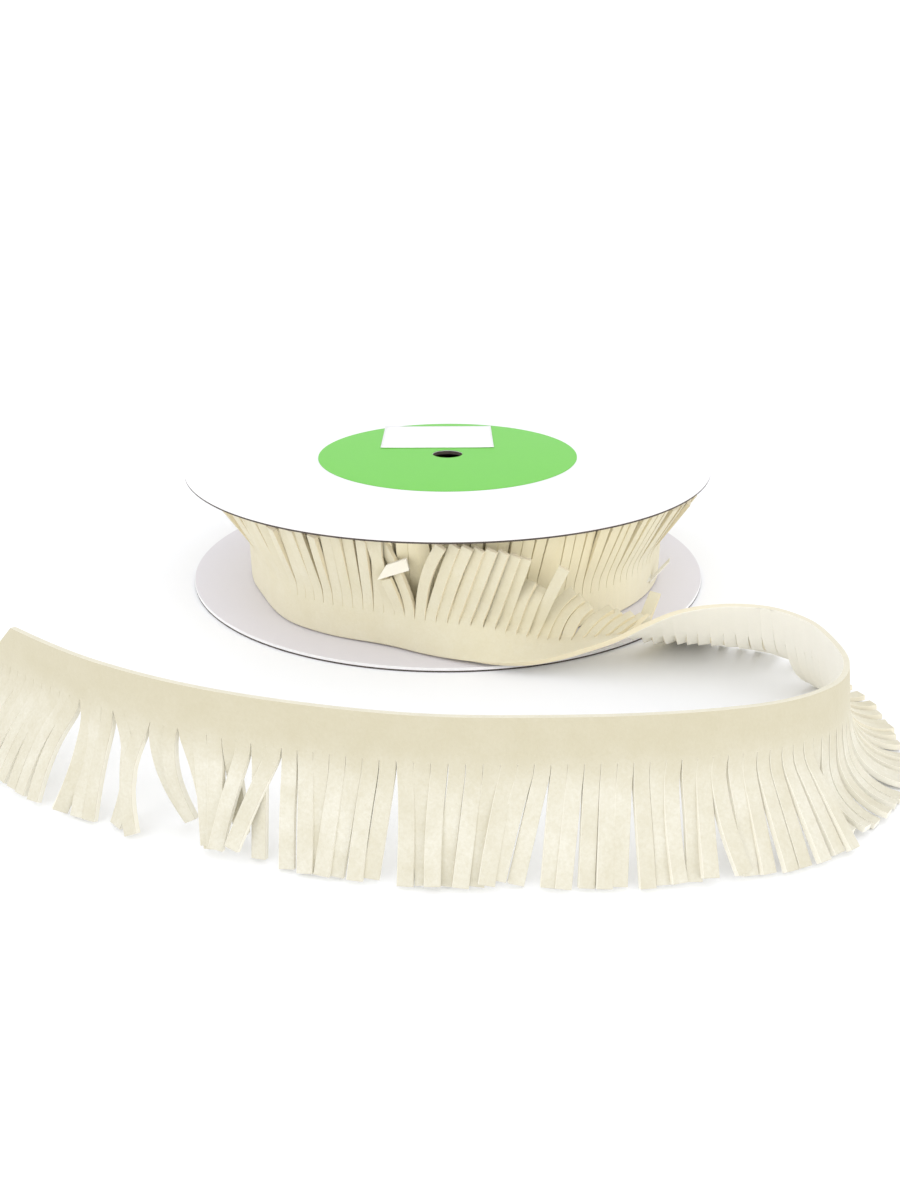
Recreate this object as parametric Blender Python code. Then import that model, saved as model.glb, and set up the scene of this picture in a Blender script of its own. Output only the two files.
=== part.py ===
"""Cream suede fringe trim wound on a flat card reel.

The trim's loose end leaves the reel over the lower flange, turns over once along its
length, loops round to the right and runs back in front of the reel, where it stands on
its fringe. Sizes are in millimetres and become metres as each mesh is made. Shapes are
worked out about the reel's axis, with the floor at height 0.
"""
import math

import bpy
import numpy as np

MM = 0.001

# Where the reel's axis stands, so that the middle of the whole footprint is the origin.
REEL_AXIS = (1.4, 35.6)

# Card reel
FLANGE_RADIUS = 63.5
CARD = 1.0
SPINDLE_RADIUS = 3.7
UPPER_FLANGE_HEIGHT = 27.6
CORE_RADIUS = 24.0
CORE_WALL = 1.5
FIT = 0.3

# Paper on the upper flange
LABEL_RADIUS = 31.75
PAPER = 0.3
STICKER_WIDTH = 28.5
STICKER_DEPTH = 22.5
STICKER_NEAR_EDGE = 5.6
STICKER_OFFSET = -2.6

# Suede trim: a plain heading along one edge, cut into strands below it
TRIM_WIDTH = 25.4
HEADING = 7.2
BACKING = 1.5
STRAND_LENGTH = TRIM_WIDTH - HEADING
STRAND_PITCH = 2.4
KERF = 0.3
STRAND_WIDTH = STRAND_PITCH - KERF
SUEDE = 1.0
BEND_SHARE = 0.3

# The roll's solid keeps this much more than the fit from the strands around it.
TUCK = 0.1

# Wound roll: its outer turn, seen from above, runs anticlockwise to where it leaves
LEAVE_ANGLE = -117.0
ROLL_RADIUS = 51.3
LOPSIDED = 1.3
TURN_PITCH = 1.5
SLACK = 1.7  # how far the end of the outer turn has worked loose
SLACK_FROM = 320.0
SLACK_UNTIL = 350.0
STEP_ANGLE = 8.0  # the roll's outside drops to the turn below over this angle
ROLL_FLARE = -27.0
ROLL_BOTTOM = CARD + FIT
LEAVE_HEIGHT = 1.4

# A loose strand that leans on the wound fringe: how far its middle stays outside the
# roll's radius there, and the furthest it is bent outwards.
LEAN_CLEARANCE = 0.95
WIDEST_FLARE = -36.0

# How the loose run lies. Each row is one section of the trim, from the reel to its cut
# end: the uncut edge's place and height, then how far the heading and the strands are
# turned over from upright, in degrees (180 hangs straight down), and how far a strand's
# tip curves along the trim. A strand that would pass through what it leans on is turned
# back until it rests there.
SECTION_COLUMNS = ("x", "y", "height", "heading_turn", "strand_turn", "side_turn")
SECTIONS = (
    (-12.0, -53.0, 1.4, 2, -14, 0),
    (-4.0, -57.6, 1.4, 8, -8, 0),
    (4.0, -61.4, 1.6, 26, -4, 0),
    (10.0, -63.8, 2.0, 52, 4, 0),
    (17.0, -65.5, 3.0, 76, 40, 30),
    (22.5, -66.3, 4.6, 90, 78, 54),
    (27.5, -67.0, 6.6, 99, 96, 60),
    (33.0, -67.5, 9.0, 112, 106, 56),
    (38.5, -67.4, 12.0, 134, 118, 44),
    (45.0, -66.8, 14.6, 152, 150, 30),
    (53.0, -67.4, 16.2, 162, 172, 16),
    (61.0, -70.8, 17.2, 166, 172, 6),
    (65.8, -78.0, 18.0, 168, 172, 0),
    (67.2, -89.0, 18.8, 170, 172, 0),
    (66.2, -99.0, 19.5, 172, 172, 0),
    (62.6, -106.8, 20.2, 172, 172, 0),
    (55.6, -114.2, 21.4, 172, 172, 0),
    (48.5, -119.0, 22.4, 172, 172, 0),
    (41.0, -122.2, 23.2, 172, 172, 0),
    (29.0, -124.9, 23.8, 172, 172, 0),
    (13.0, -126.3, 24.2, 173, 172, 0),
    (-2.5, -125.8, 24.2, 173, 172, 0),
    (-21.0, -122.5, 24.4, 173, 172, 0),
    (-37.0, -117.6, 24.6, 173, 172, 0),
    (-55.0, -108.2, 24.4, 173, 172, 0),
    (-73.0, -94.0, 23.8, 173, 172, 0),
    (-80.0, -87.6, 23.5, 173, 172, 0),
)

# The loose strands lean together in bunches. The fringe parts before each of these
# strands, counted from the reel.
PARTINGS = (53, 58, 60, 63, 67, 69, 72, 75, 78, 83, 87, 91, 95, 98, 101, 104, 107, 110, 113, 117)
BUNCH_SQUEEZE = 0.08
COMBS = 10
FLOOR_CLEARANCE = 0.05

STRAND_STEPS = 3
HEADING_STEP = 2.4
ROUND_STEPS = 96
ROLL_STEPS = 90


def clear_scene():
    for obj in list(bpy.data.objects):
        bpy.data.objects.remove(obj, do_unlink=True)


def make_material(name, colour, roughness):
    mat = bpy.data.materials.new(name)
    mat.use_nodes = True
    shader = mat.node_tree.nodes["Principled BSDF"]
    shader.inputs["Base Color"].default_value = (*colour, 1.0)
    shader.inputs["Roughness"].default_value = roughness
    shader.inputs["Metallic"].default_value = 0.0
    return mat


def make_object(name, points, faces, mat, parent):
    mesh = bpy.data.meshes.new(name)
    mesh.from_pydata([tuple(float(v) * MM for v in p) for p in points], [], faces)
    mesh.materials.append(mat)
    mesh.shade_smooth()
    mesh.set_sharp_from_angle(angle=math.radians(35))
    obj = bpy.data.objects.new(name, mesh)
    bpy.context.scene.collection.objects.link(obj)
    obj.parent = parent
    return obj


def thicken(obj, thickness):
    """Gives a sheet its thickness, half to each side."""
    solid = obj.modifiers.new("Thickness", "SOLIDIFY")
    solid.thickness = thickness * MM
    solid.offset = 0.0
    solid.use_even_offset = False
    return obj


def ring_faces(sections, corners):
    """Faces of a closed ring whose sections each have the same corners."""
    faces = []
    for i in range(sections):
        here = i * corners
        there = ((i + 1) % sections) * corners
        for j in range(corners):
            k = (j + 1) % corners
            faces.append((here + j, there + j, there + k, here + k))
    return faces


def turned(name, profile, mat, parent):
    """A round piece from a profile of (radius, height), listed anticlockwise."""
    points = []
    for i in range(ROUND_STEPS):
        angle = 2 * math.pi * i / ROUND_STEPS
        points += [(r * math.cos(angle), r * math.sin(angle), z) for r, z in profile]
    return make_object(name, points, ring_faces(ROUND_STEPS, len(profile)), mat, parent)


def plate(name, outer, inner, low, high, mat, parent):
    profile = ((inner, low), (outer, low), (outer, high), (inner, high))
    return turned(name, profile, mat, parent)


def turn_radius(angle):
    """Outside of the roll at an angle in degrees, counted from where the last turn
    starts: the spiral gains one thickness in a full turn, and its end stands off."""
    share = angle / 360.0
    lean = LOPSIDED * math.cos(math.radians(LEAVE_ANGLE + angle))
    loose = min(max((angle - SLACK_FROM) / (SLACK_UNTIL - SLACK_FROM), 0.0), 1.0)
    slack = SLACK * loose * loose * (3.0 - 2.0 * loose)
    return ROLL_RADIUS + lean + TURN_PITCH * share + slack


def bent_turn(heading_turn, strand_turn, share):
    """A strand's turn at a share of its length: it bends over close to its root."""
    return heading_turn + (strand_turn - heading_turn) * min(share / BEND_SHARE, 1.0)


def flare_line():
    """Heights along a wound strand, and how far it stands out there."""
    heights = [ROLL_BOTTOM + HEADING]
    outs = [0.0]
    for step in range(STRAND_STEPS):
        turn = math.radians(bent_turn(0.0, ROLL_FLARE, (step + 0.5) / STRAND_STEPS))
        heights.append(heights[-1] + STRAND_LENGTH / STRAND_STEPS * math.cos(turn))
        outs.append(outs[-1] - STRAND_LENGTH / STRAND_STEPS * math.sin(turn))
    return heights, outs


FLARE_HEIGHTS, FLARE_OUTS = flare_line()


def flare_at(height):
    """How far the wound fringe stands out from the heading at a height."""
    return float(np.interp(height, FLARE_HEIGHTS, FLARE_OUTS))


def wound_roll(mat, parent):
    """One solid for all the turns under the outer fringe, with the outer heading."""
    points = []
    heading_top = ROLL_BOTTOM + HEADING - BACKING - FIT
    inner = CORE_RADIUS + FIT
    skin = SUEDE / 2 + (SUEDE / 2 + FIT) / math.cos(math.radians(ROLL_FLARE)) + TUCK
    for i in range(ROLL_STEPS):
        angle = 360.0 * i / ROLL_STEPS
        outer = turn_radius(angle)
        until_end = 360.0 - angle
        if until_end < STEP_ANGLE:
            outer -= (TURN_PITCH + SLACK) * (1.0 - until_end / STEP_ANGLE)
        profile = [(inner, ROLL_BOTTOM), (outer, ROLL_BOTTOM), (outer, heading_top)]
        profile.append((outer - skin, heading_top))
        profile += [(outer - skin + out, z) for z, out in zip(FLARE_HEIGHTS, FLARE_OUTS)]
        profile.append((inner, FLARE_HEIGHTS[-1] + TUCK))
        turn = math.radians(LEAVE_ANGLE + angle)
        points += [(r * math.cos(turn), r * math.sin(turn), z) for r, z in profile]
    faces = ring_faces(ROLL_STEPS, len(profile))
    return make_object("wound_roll", points, faces, mat, parent)


class WoundPath:
    """The uncut edge of the roll's outer turn, in the middle of the suede."""

    length = math.radians(360.0) * (ROLL_RADIUS + TURN_PITCH / 2)

    def degrees(self, along):
        return 360.0 * along / self.length

    def section(self, along):
        angle = self.degrees(along)
        radius = turn_radius(angle) - SUEDE / 2
        turn = math.radians(LEAVE_ANGLE + angle)
        place = np.array((radius * math.cos(turn), radius * math.sin(turn), ROLL_BOTTOM))
        forward = np.array((-math.sin(turn), math.cos(turn), 0.0))
        return place, forward, 0.0, ROLL_FLARE, 0.0


class LoosePath:
    """A smooth curve through the sections of the loose run."""

    def __init__(self):
        turn = math.radians(LEAVE_ANGLE)
        radius = turn_radius(360.0) - SUEDE / 2
        edge = (radius * math.cos(turn), radius * math.sin(turn), LEAVE_HEIGHT)
        start = (*edge, 0.0, ROLL_FLARE, 0.0)
        self.rows = np.array((start,) + SECTIONS, dtype=float)
        steps = np.linalg.norm(np.diff(self.rows[:, :3], axis=0), axis=1)
        self.knots = np.concatenate(((0.0,), np.cumsum(steps)))
        self.length = float(self.knots[-1])
        self.slopes = self.row_slopes()
        self.slopes[0, :3] = (-math.sin(turn), math.cos(turn), 0.0)

    def row_slopes(self):
        gaps = np.diff(self.knots)[:, None]
        rises = np.diff(self.rows, axis=0) / gaps
        slopes = np.zeros_like(self.rows)
        slopes[1:-1] = (rises[:-1] * gaps[1:] + rises[1:] * gaps[:-1]) / (gaps[1:] + gaps[:-1])
        slopes[0] = rises[0]
        slopes[-1] = rises[-1]
        return slopes

    def row(self, along):
        i = int(np.searchsorted(self.knots, along, side="right")) - 1
        i = min(max(i, 0), len(self.knots) - 2)
        gap = self.knots[i + 1] - self.knots[i]
        t = (along - self.knots[i]) / gap
        near = (2 * t ** 3 - 3 * t ** 2 + 1) * self.rows[i]
        near += (t ** 3 - 2 * t ** 2 + t) * gap * self.slopes[i]
        far = (3 * t ** 2 - 2 * t ** 3) * self.rows[i + 1]
        far += (t ** 3 - t ** 2) * gap * self.slopes[i + 1]
        return near + far

    def section(self, along):
        row = self.row(along)
        reach = 0.1
        forward = (self.row(along + reach) - self.row(along - reach))[:3]
        forward /= np.linalg.norm(forward)
        turns = [row[SECTION_COLUMNS.index(name)] for name in SECTION_COLUMNS[3:]]
        return row[:3], forward, *turns


def across(forward, turn):
    """Direction square to the trim's length, turned over from upright by degrees."""
    upright = np.array((0.0, 0.0, 1.0)) - forward * forward[2]
    upright /= np.linalg.norm(upright)
    left = np.cross(upright, forward)
    angle = math.radians(turn)
    return math.cos(angle) * upright + math.sin(angle) * left


def point_on(path, along, width):
    """A point of the heading, at a distance from the uncut edge."""
    place, forward, heading_turn, _, _ = path.section(along)
    return place + width * across(forward, heading_turn)


def strand_rows(path, along, strand_turn, side_turn):
    """A strand's middle line and the direction of its width, from its root to its tip.
    It bends over close to its root and curves sideways evenly."""
    place, forward, heading_turn, _, _ = path.section(along)
    point = place + HEADING * across(forward, heading_turn)
    rows = []
    for step in range(STRAND_STEPS):
        share = (step + 0.5) / STRAND_STEPS
        side = math.radians(side_turn) * share
        down = across(forward, bent_turn(heading_turn, strand_turn, share))
        onward = math.cos(side) * down + math.sin(side) * forward
        point = point + STRAND_LENGTH / STRAND_STEPS * onward
        side = math.radians(side_turn) * (step + 1) / STRAND_STEPS
        rows.append((point, math.cos(side) * forward - math.sin(side) * down))
    return rows


def stands_clear(path, along, strand_turn, side_turn):
    """Whether a strand stays above what it rests on and outside the wound fringe."""
    forward = path.section(along)[1]
    face = np.cross(forward, across(forward, strand_turn))
    for point, breadth in strand_rows(path, along, strand_turn, side_turn):
        drop = SUEDE / 2 * abs(face[2]) + STRAND_WIDTH / 2 * abs(breadth[2])
        for corner in (point - STRAND_WIDTH / 2 * breadth, point + STRAND_WIDTH / 2 * breadth):
            radius = math.hypot(corner[0], corner[1])
            floor = CARD + FIT if radius < FLANGE_RADIUS + 1.0 else FLOOR_CLEARANCE
            if point[2] - drop < floor:
                return False
            angle = (math.degrees(math.atan2(corner[1], corner[0])) - LEAVE_ANGLE) % 360.0
            if angle < 180.0 and radius < turn_radius(angle) + flare_at(corner[2]) + LEAN_CLEARANCE:
                return False
    return True


def settled_turn(path, along, side_turn):
    """The strand's turn once it leans on the roll, the flange or the floor."""
    turn = path.section(along)[3]
    if stands_clear(path, along, turn, side_turn):
        return turn
    while turn > WIDEST_FLARE and not stands_clear(path, along, turn, side_turn):
        turn -= 1.0
    low, high = turn, turn + 1.0
    for _ in range(10):
        middle = (low + high) / 2
        if stands_clear(path, along, middle, side_turn):
            low = middle
        else:
            high = middle
    return low


def bunch_turn(index, total, pitch):
    """How a strand curves sideways towards the middle of its bunch, in degrees."""
    edges = (0,) + PARTINGS + (total,)
    last = next(edge for edge in edges if edge > index)
    first = max(edge for edge in edges if edge <= index)
    if first == 0:
        return 0.0
    shift = ((first + last - 1) / 2 - index) * pitch * BUNCH_SQUEEZE
    return math.degrees(2 * shift / STRAND_LENGTH)


def loose_strands(path):
    """Each loose strand's place along the trim, its turn and its sideways curve."""
    total = round(path.length / STRAND_PITCH)
    pitch = path.length / total
    places = [(i + 0.5) * pitch for i in range(total)]
    sides = [path.section(places[i])[4] + bunch_turn(i, total, pitch) for i in range(total)]
    turns = [settled_turn(path, places[i], sides[i]) for i in range(total)]
    eased = list(turns)
    for i in range(1, total - 1):
        eased[i] = min(turns[i], (turns[i - 1] + turns[i + 1]) / 2)
    return list(zip(places, eased, sides))


def comb(name, path, strands, pitch, mat, parent):
    """Strands that stand apart on a narrow backing cut from the heading."""
    half = (pitch - KERF) / 2
    points = []
    faces = []
    for i, (along, turn, side) in enumerate(strands):
        base = len(points)
        for width in (HEADING - BACKING, HEADING):
            points.append(point_on(path, along - half, width))
            points.append(point_on(path, along + half, width))
        faces.append((base, base + 1, base + 3, base + 2))
        if i + 1 < len(strands):
            after = base + 4 + 2 * STRAND_STEPS
            faces.append((base + 1, after, after + 2, base + 3))
        row = base + 2
        for point, breadth in strand_rows(path, along, turn, side):
            points.append(point - half * breadth)
            points.append(point + half * breadth)
            next_row = len(points) - 2
            faces.append((row, row + 1, next_row + 1, next_row))
            row = next_row
    return thicken(make_object(name, points, faces, mat, parent), SUEDE)


def loose_heading(path, mat, parent):
    """The heading of the loose run, down to the fringe's backing."""
    widths = np.linspace(0.0, HEADING - BACKING - FIT, 3)
    rows = round(path.length / HEADING_STEP)
    points = []
    for along in np.linspace(0.0, path.length, rows + 1):
        points += [point_on(path, along, width) for width in widths]
    faces = []
    for i in range(rows):
        for j in range(len(widths) - 1):
            here = i * len(widths) + j
            there = here + len(widths)
            faces.append((here, there, there + 1, here + 1))
    return thicken(make_object("loose_band", points, faces, mat, parent), SUEDE)


def wound_fringe(path, mat, parent):
    total = round(path.length / STRAND_PITCH)
    pitch = (path.length - KERF) / total
    strands = [((i + 0.5) * pitch, ROLL_FLARE, 0.0) for i in range(total)]
    return comb("wound_fringe", path, strands, pitch, mat, parent)


def loose_fringe(path, mat, parent):
    strands = loose_strands(path)
    pitch = path.length / len(strands)
    edges = [round(len(strands) * i / COMBS) for i in range(COMBS + 1)]
    for i in range(COMBS):
        part = strands[edges[i]:edges[i + 1]]
        comb(f"loose_fringe_{i + 1:02d}", path, part, pitch, mat, parent)


def sticker(mat, parent):
    """A plain white paper rectangle on the far half of the label."""
    low = UPPER_FLANGE_HEIGHT + CARD + PAPER + 2 * FIT
    left = STICKER_OFFSET - STICKER_WIDTH / 2
    right = left + STICKER_WIDTH
    near = STICKER_NEAR_EDGE
    far = near + STICKER_DEPTH
    outline = ((left, near), (right, near), (right, far), (left, far))
    points = [(x, y, low) for x, y in outline] + [(x, y, low + PAPER) for x, y in outline]
    faces = [(3, 2, 1, 0), (4, 5, 6, 7)]
    faces += [(i, (i + 1) % 4, (i + 1) % 4 + 4, i + 4) for i in range(4)]
    return make_object("sticker", points, faces, mat, parent)


def build():
    clear_scene()
    axis = bpy.data.objects.new("reel_axis", None)
    axis.location = (REEL_AXIS[0] * MM, REEL_AXIS[1] * MM, 0.0)
    bpy.context.scene.collection.objects.link(axis)

    suede = make_material("suede", (0.83, 0.78, 0.63), 0.95)
    card = make_material("card", (0.86, 0.85, 0.86), 0.6)
    core_card = make_material("core_card", (0.32, 0.28, 0.24), 0.9)
    green_paper = make_material("label", (0.23, 0.72, 0.15), 0.5)
    white_paper = make_material("sticker", (0.9, 0.9, 0.9), 0.45)

    plate("flange_lower", FLANGE_RADIUS, SPINDLE_RADIUS, 0.0, CARD, card, axis)
    upper_top = UPPER_FLANGE_HEIGHT + CARD
    plate("flange_upper", FLANGE_RADIUS, SPINDLE_RADIUS, UPPER_FLANGE_HEIGHT, upper_top, card, axis)
    core_top = UPPER_FLANGE_HEIGHT - FIT
    plate("core", CORE_RADIUS, CORE_RADIUS - CORE_WALL, CARD + FIT, core_top, core_card, axis)
    label_low = upper_top + FIT
    plate("label", LABEL_RADIUS, SPINDLE_RADIUS, label_low, label_low + PAPER, green_paper, axis)
    sticker(white_paper, axis)

    wound_roll(suede, axis)
    wound_fringe(WoundPath(), suede, axis)
    loose = LoosePath()
    loose_heading(loose, suede, axis)
    loose_fringe(loose, suede, axis)


build()
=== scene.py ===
"""Looks of a cream suede fringe trim, wound on a card reel with its loose end looped round in front.

The trim is one thin surface, cut into strands below a plain heading, that follows the
roll's outer turn, leaves over the lower flange, turns over once along its length and runs
back in front of the reel, where it stands on its fringe. Shapes are worked out in
millimetres and degrees about the reel's axis, with the floor at height 0.
"""
import math
from dataclasses import dataclass

import bpy
import numpy as np
from mathutils import Matrix, Vector


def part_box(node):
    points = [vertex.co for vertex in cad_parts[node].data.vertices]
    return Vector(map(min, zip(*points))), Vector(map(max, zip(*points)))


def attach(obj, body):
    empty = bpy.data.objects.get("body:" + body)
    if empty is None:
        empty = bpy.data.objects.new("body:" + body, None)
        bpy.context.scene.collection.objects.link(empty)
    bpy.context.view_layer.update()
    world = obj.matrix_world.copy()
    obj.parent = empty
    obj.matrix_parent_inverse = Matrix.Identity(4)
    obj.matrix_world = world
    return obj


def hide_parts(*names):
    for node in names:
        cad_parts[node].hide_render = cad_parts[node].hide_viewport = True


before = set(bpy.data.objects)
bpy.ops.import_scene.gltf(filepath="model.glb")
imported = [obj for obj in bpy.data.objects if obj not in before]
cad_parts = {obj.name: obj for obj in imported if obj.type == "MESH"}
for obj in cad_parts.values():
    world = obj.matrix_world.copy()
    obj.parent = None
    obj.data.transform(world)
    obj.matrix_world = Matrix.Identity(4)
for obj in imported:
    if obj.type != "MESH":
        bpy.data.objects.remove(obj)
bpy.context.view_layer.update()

MM = 0.001

# The reel, as the frame has it
FLANGE_LOW, FLANGE_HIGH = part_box("flange_lower")
REEL_AXIS = np.array(((FLANGE_LOW.x + FLANGE_HIGH.x) / 2, (FLANGE_LOW.y + FLANGE_HIGH.y) / 2, 0.0))
FLANGE_RADIUS = (FLANGE_HIGH.x - FLANGE_LOW.x) / 2 / MM
CARD = (FLANGE_HIGH.z - FLANGE_LOW.z) / MM
UPPER_FLANGE_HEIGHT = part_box("flange_upper")[0].z / MM
LABEL_RADIUS = (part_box("label")[1].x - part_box("label")[0].x) / 2 / MM

# Its hole and tube, as the solids have them, its softened rims, and how far up a rim the
# painted shadow line shows, near black, standing in for the shadow under the rim
SPINDLE_RADIUS = 3.7
CORE_RADIUS = 24.0
CARD_ROUNDING = 0.1
CARD_CREASE = math.radians(30)
PAINTED_SHADOW_HEIGHT = 0.4

# The label and the sticker on it. The sticker's corners lift where a point's two distances
# from its middle, as shares of the way to its edges, add up to more than CORNER_FROM.
PAPER = 0.12
PAPER_GAP = 0.01
PAPER_ROUNDING = 0.03
STICKER = 0.1
STICKER_STEPS = 16
CORNER_LIFT = 0.25
CORNER_FROM = 1.55

# Suede trim: a plain heading along one edge, cut into strands below it
TRIM_WIDTH = 25.4
HEADING = 7.2
STRAND_LENGTH = TRIM_WIDTH - HEADING
STRAND_PITCH = 2.4
KERF = 0.02
SUEDE = 1.0
EDGE_ROUNDING = 0.06
ROUNDED_FROM = math.radians(50)

# The shares of its length over which a strand bends away from the heading, and leans
BEND_SHARE = 0.3
LEAN_SHARE = 0.15

# How far the cut end slants back at the uncut edge, and the length over which it does
END_SLANT = 8.5
SLANT_REACH = 30.0

# How pale the suede is, from 0 to 1: the heading on the roll, the loose run's heading at
# widths from the uncut edge, and a strand's rows from its root on. The strands' paleness is
# partly their own colour and partly painted light where they face up. On and near the roll
# the heading is made pale as painted light, which fades out over these distances from where
# the trim leaves the roll.
WOUND_HEADING_PAINTED_LIGHT = 1.0
HEADING_PALE_AND_LIT = {0.0: 0.0, 0.5: 0.0, 3.6: 0.0, 5.6: 0.1, HEADING: 0.3}
HEADING_WIDTHS = tuple(HEADING_PALE_AND_LIT)
ROOT_PALE_AND_LIT = 0.45
PALER_AND_LIGHTER_EACH_ROW = 0.2
PAINTED_LIGHT_FADES_FROM = 60.0
PAINTED_LIGHT_GONE_AT = 110.0

# The heading's tone, and the number of a strand's rows in which its own tone grows
EVEN_TONE = 0.5
TONE_ROWS = 3

# On the roll the suede takes a lighter, more golden copy of its colours: painted warm light,
# standing in for the light thrown between its turns and lifting the flange's shade. The
# colours turn to the loose run's over these strands.
PAINTED_WARM_UP_TO_STRAND = 28
PAINTED_WARM_GONE_FROM_STRAND = 52

# How many of the outer turn's first strands lie behind the loose run and get the painted
# bounce light, and over how many of these that painted light fades out
HIDDEN_STRANDS = 32
PAINTED_BOUNCE_FADE = 10.0

# Wound roll, a little off the axis: its outer turn, seen from above, runs anticlockwise to
# where it leaves. That turn's end stands off, and each turn has a flatter side, at angles
# counted from where a turn starts.
LEAVE_ANGLE = -117.0
ROLL_RADIUS = 51.3
LOPSIDED = 1.3
TURN_PITCH = 1.5
TURN_LENGTH = 2 * math.pi * (ROLL_RADIUS + TURN_PITCH / 2)
SLACK = 1.7
SLACK_FROM = 320.0
SLACK_UNTIL = 350.0
FLAT_SIDE = 1.7
FLAT_FROM = 200.0
FLAT_BY = 270.0
FLAT_UNTIL = 325.0
FLAT_OVER = 350.0
ROLL_GAP = 0.3
ROLL_BOTTOM = CARD + ROLL_GAP
ROLL_CREASE = math.radians(40)
HEART_BELOW_TIPS = 1.0

# How far the wound strands flare: on average, at the roll's sides and back, and at its
# front, where the loose run presses on them. Then the front's middle, half of its width,
# and the angle over which one flare changes into the other.
ROLL_FLARE = -27.0
SIDE_FLARE = -31.0
FRONT_FLARE = -19.0
FRONT_AZIMUTH = -90.0
FRONT_HALF = 35.0
FLARE_FADE = 30.0

# A loose strand that leans on the wound fringe: how far its middle stays outside the
# roll's radius there, how far above the heading that starts to follow the flare, and the
# furthest it is bent outwards. Then how far past the flange's rim a strand still stays
# above the flange, and how far it stays above the floor.
LEAN_CLEARANCE = 0.95
FLARE_STARTS = 1.5
FLARE_SLOPE = math.tan(math.radians(-ROLL_FLARE))
WIDEST_FLARE = -36.0
FLANGE_MARGIN = 1.0
FLOOR_CLEARANCE = 0.05

# How the loose run lies. Each row is one section of the trim, from the reel to its cut
# end: the uncut edge's x, y and height, then how far the heading and the strands are
# turned over from upright (180 hangs straight down), and how far a strand's tip curves
# along the trim.
SECTIONS = (
    (-12.0, -53.0, 1.4, 2, -14, 0),
    (-4.0, -57.6, 1.4, 8, -8, 0),
    (4.0, -61.4, 1.6, 26, -4, 0),
    (10.0, -63.8, 2.0, 52, 4, 0),
    (17.0, -65.5, 3.0, 76, 40, 30),
    (22.5, -66.3, 4.6, 90, 78, 54),
    (27.5, -67.0, 6.6, 99, 96, 60),
    (33.0, -67.5, 9.0, 112, 106, 56),
    (38.5, -67.4, 12.0, 134, 118, 44),
    (45.0, -66.8, 14.6, 152, 150, 30),
    (53.0, -67.4, 16.2, 162, 172, 16),
    (61.0, -70.8, 17.2, 166, 172, 6),
    (65.8, -78.0, 18.0, 168, 172, 0),
    (67.2, -89.0, 18.8, 170, 172, 0),
    (66.2, -99.0, 19.5, 172, 172, 0),
    (62.6, -106.8, 20.2, 172, 172, 0),
    (55.6, -114.2, 21.4, 172, 172, 0),
    (48.5, -119.0, 22.4, 172, 172, 0),
    (41.0, -122.2, 23.2, 172, 172, 0),
    (29.0, -124.9, 23.8, 172, 172, 0),
    (13.0, -126.3, 24.2, 173, 172, 0),
    (-2.5, -125.8, 24.2, 173, 172, 0),
    (-21.0, -122.5, 24.4, 173, 172, 0),
    (-37.0, -117.6, 24.6, 173, 172, 0),
    (-55.0, -108.2, 24.4, 173, 172, 0),
    (-73.0, -94.0, 23.8, 173, 172, 0),
    (-80.0, -87.6, 23.5, 173, 172, 0),
)

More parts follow.
